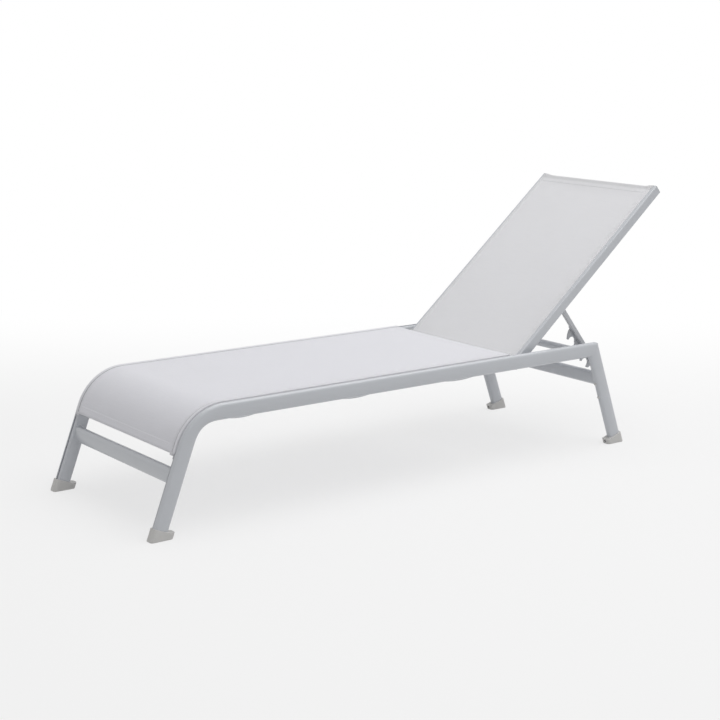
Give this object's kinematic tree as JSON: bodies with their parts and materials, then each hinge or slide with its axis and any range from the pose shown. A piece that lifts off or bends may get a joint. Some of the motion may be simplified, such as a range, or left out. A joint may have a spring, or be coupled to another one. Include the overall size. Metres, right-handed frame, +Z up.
{
  "type": "chaise lounge",
  "caption": "Low sling chaise lounge: tubular side frames curving down to leaning legs, stretched mesh seat and a hinged back held by notched props.",
  "frame": {"origin": "on the floor, under the middle of the lounge's length and width, with the back in the middle notch", "axes": "+X from the foot end to the head end, +Y to the sitter's right, +Z up"},
  "size_m": [1.989, 0.6274, 0.8547],
  "materials": {
    "frame_paint": "satin powder coat, light silver grey",
    "seat_fabric": "pale grey coated mesh, fine plain weave",
    "back_fabric": "pale grey coated mesh, fine plain weave",
    "welt_cord": "grey extruded cord",
    "foot_plastic": "moulded grey plastic, matt",
    "cap_plastic": "moulded grey plastic, satin",
    "bearing_plastic": "natural nylon",
    "fastener_steel": "plain stainless steel"
  },
  "bodies": {
    "base": {"side_rail_left": "frame_paint", "side_rail_right": "frame_paint", "rear_leg_left": "frame_paint", "rear_leg_right": "frame_paint", "front_stretcher": "frame_paint", "rear_stretcher": "frame_paint", "seat_bar_front": "frame_paint", "seat_bar_middle": "frame_paint", "seat_bar_rear": "frame_paint", "catch_bar": "frame_paint", "foot_cap_front_left": "foot_plastic", "foot_cap_front_right": "foot_plastic", "foot_cap_rear_left": "foot_plastic", "foot_cap_rear_right": "foot_plastic", "foot_screws": "fastener_steel", "leg_buttons": "foot_plastic", "seat_sling": "seat_fabric", "seat_welt_left": "welt_cord", "seat_welt_right": "welt_cord", "channel_stops": "cap_plastic", "hinge_bolt_left": "fastener_steel", "hinge_bolt_right": "fastener_steel", "hinge_inserts": "fastener_steel", "hinge_spacer_left": "bearing_plastic", "hinge_spacer_right": "bearing_plastic"},
    "back": {"back_rail_left": "frame_paint", "back_rail_right": "frame_paint", "back_top_bar": "frame_paint", "back_lower_bar": "frame_paint", "back_sling": "back_fabric", "back_welt_left": "welt_cord", "back_welt_right": "welt_cord", "back_cap_top_left": "cap_plastic", "back_cap_top_right": "cap_plastic", "back_cap_low_left": "cap_plastic", "back_cap_low_right": "cap_plastic", "hinge_bush_left": "bearing_plastic", "hinge_bush_right": "bearing_plastic", "prop_bolt_left": "fastener_steel", "prop_bolt_right": "fastener_steel", "prop_washers": "bearing_plastic", "prop_inserts": "fastener_steel"},
    "prop_left": {"prop_strut_left": "frame_paint", "prop_comb_left": "frame_paint", "prop_bush_left": "bearing_plastic"},
    "prop_right": {"prop_strut_right": "frame_paint", "prop_comb_right": "frame_paint", "prop_bush_right": "bearing_plastic"}
  },
  "joints": [
    {"name": "back_recline", "type": "hinge", "parent": "base", "child": "back", "pos_m": [0.37817, 0, 0.334], "axis": [0, -1, 0], "range_deg": [0, 35]},
    {"name": "prop_swing_left", "type": "hinge", "parent": "back", "child": "prop_left", "pos_m": [0.56661, -0.246, 0.49213], "axis": [0, -1, 0], "range_deg": [0, 85]},
    {"name": "prop_swing_right", "type": "hinge", "parent": "back", "child": "prop_right", "pos_m": [0.56661, 0.246, 0.49213], "axis": [0, -1, 0], "range_deg": [0, 85]}
  ]
}
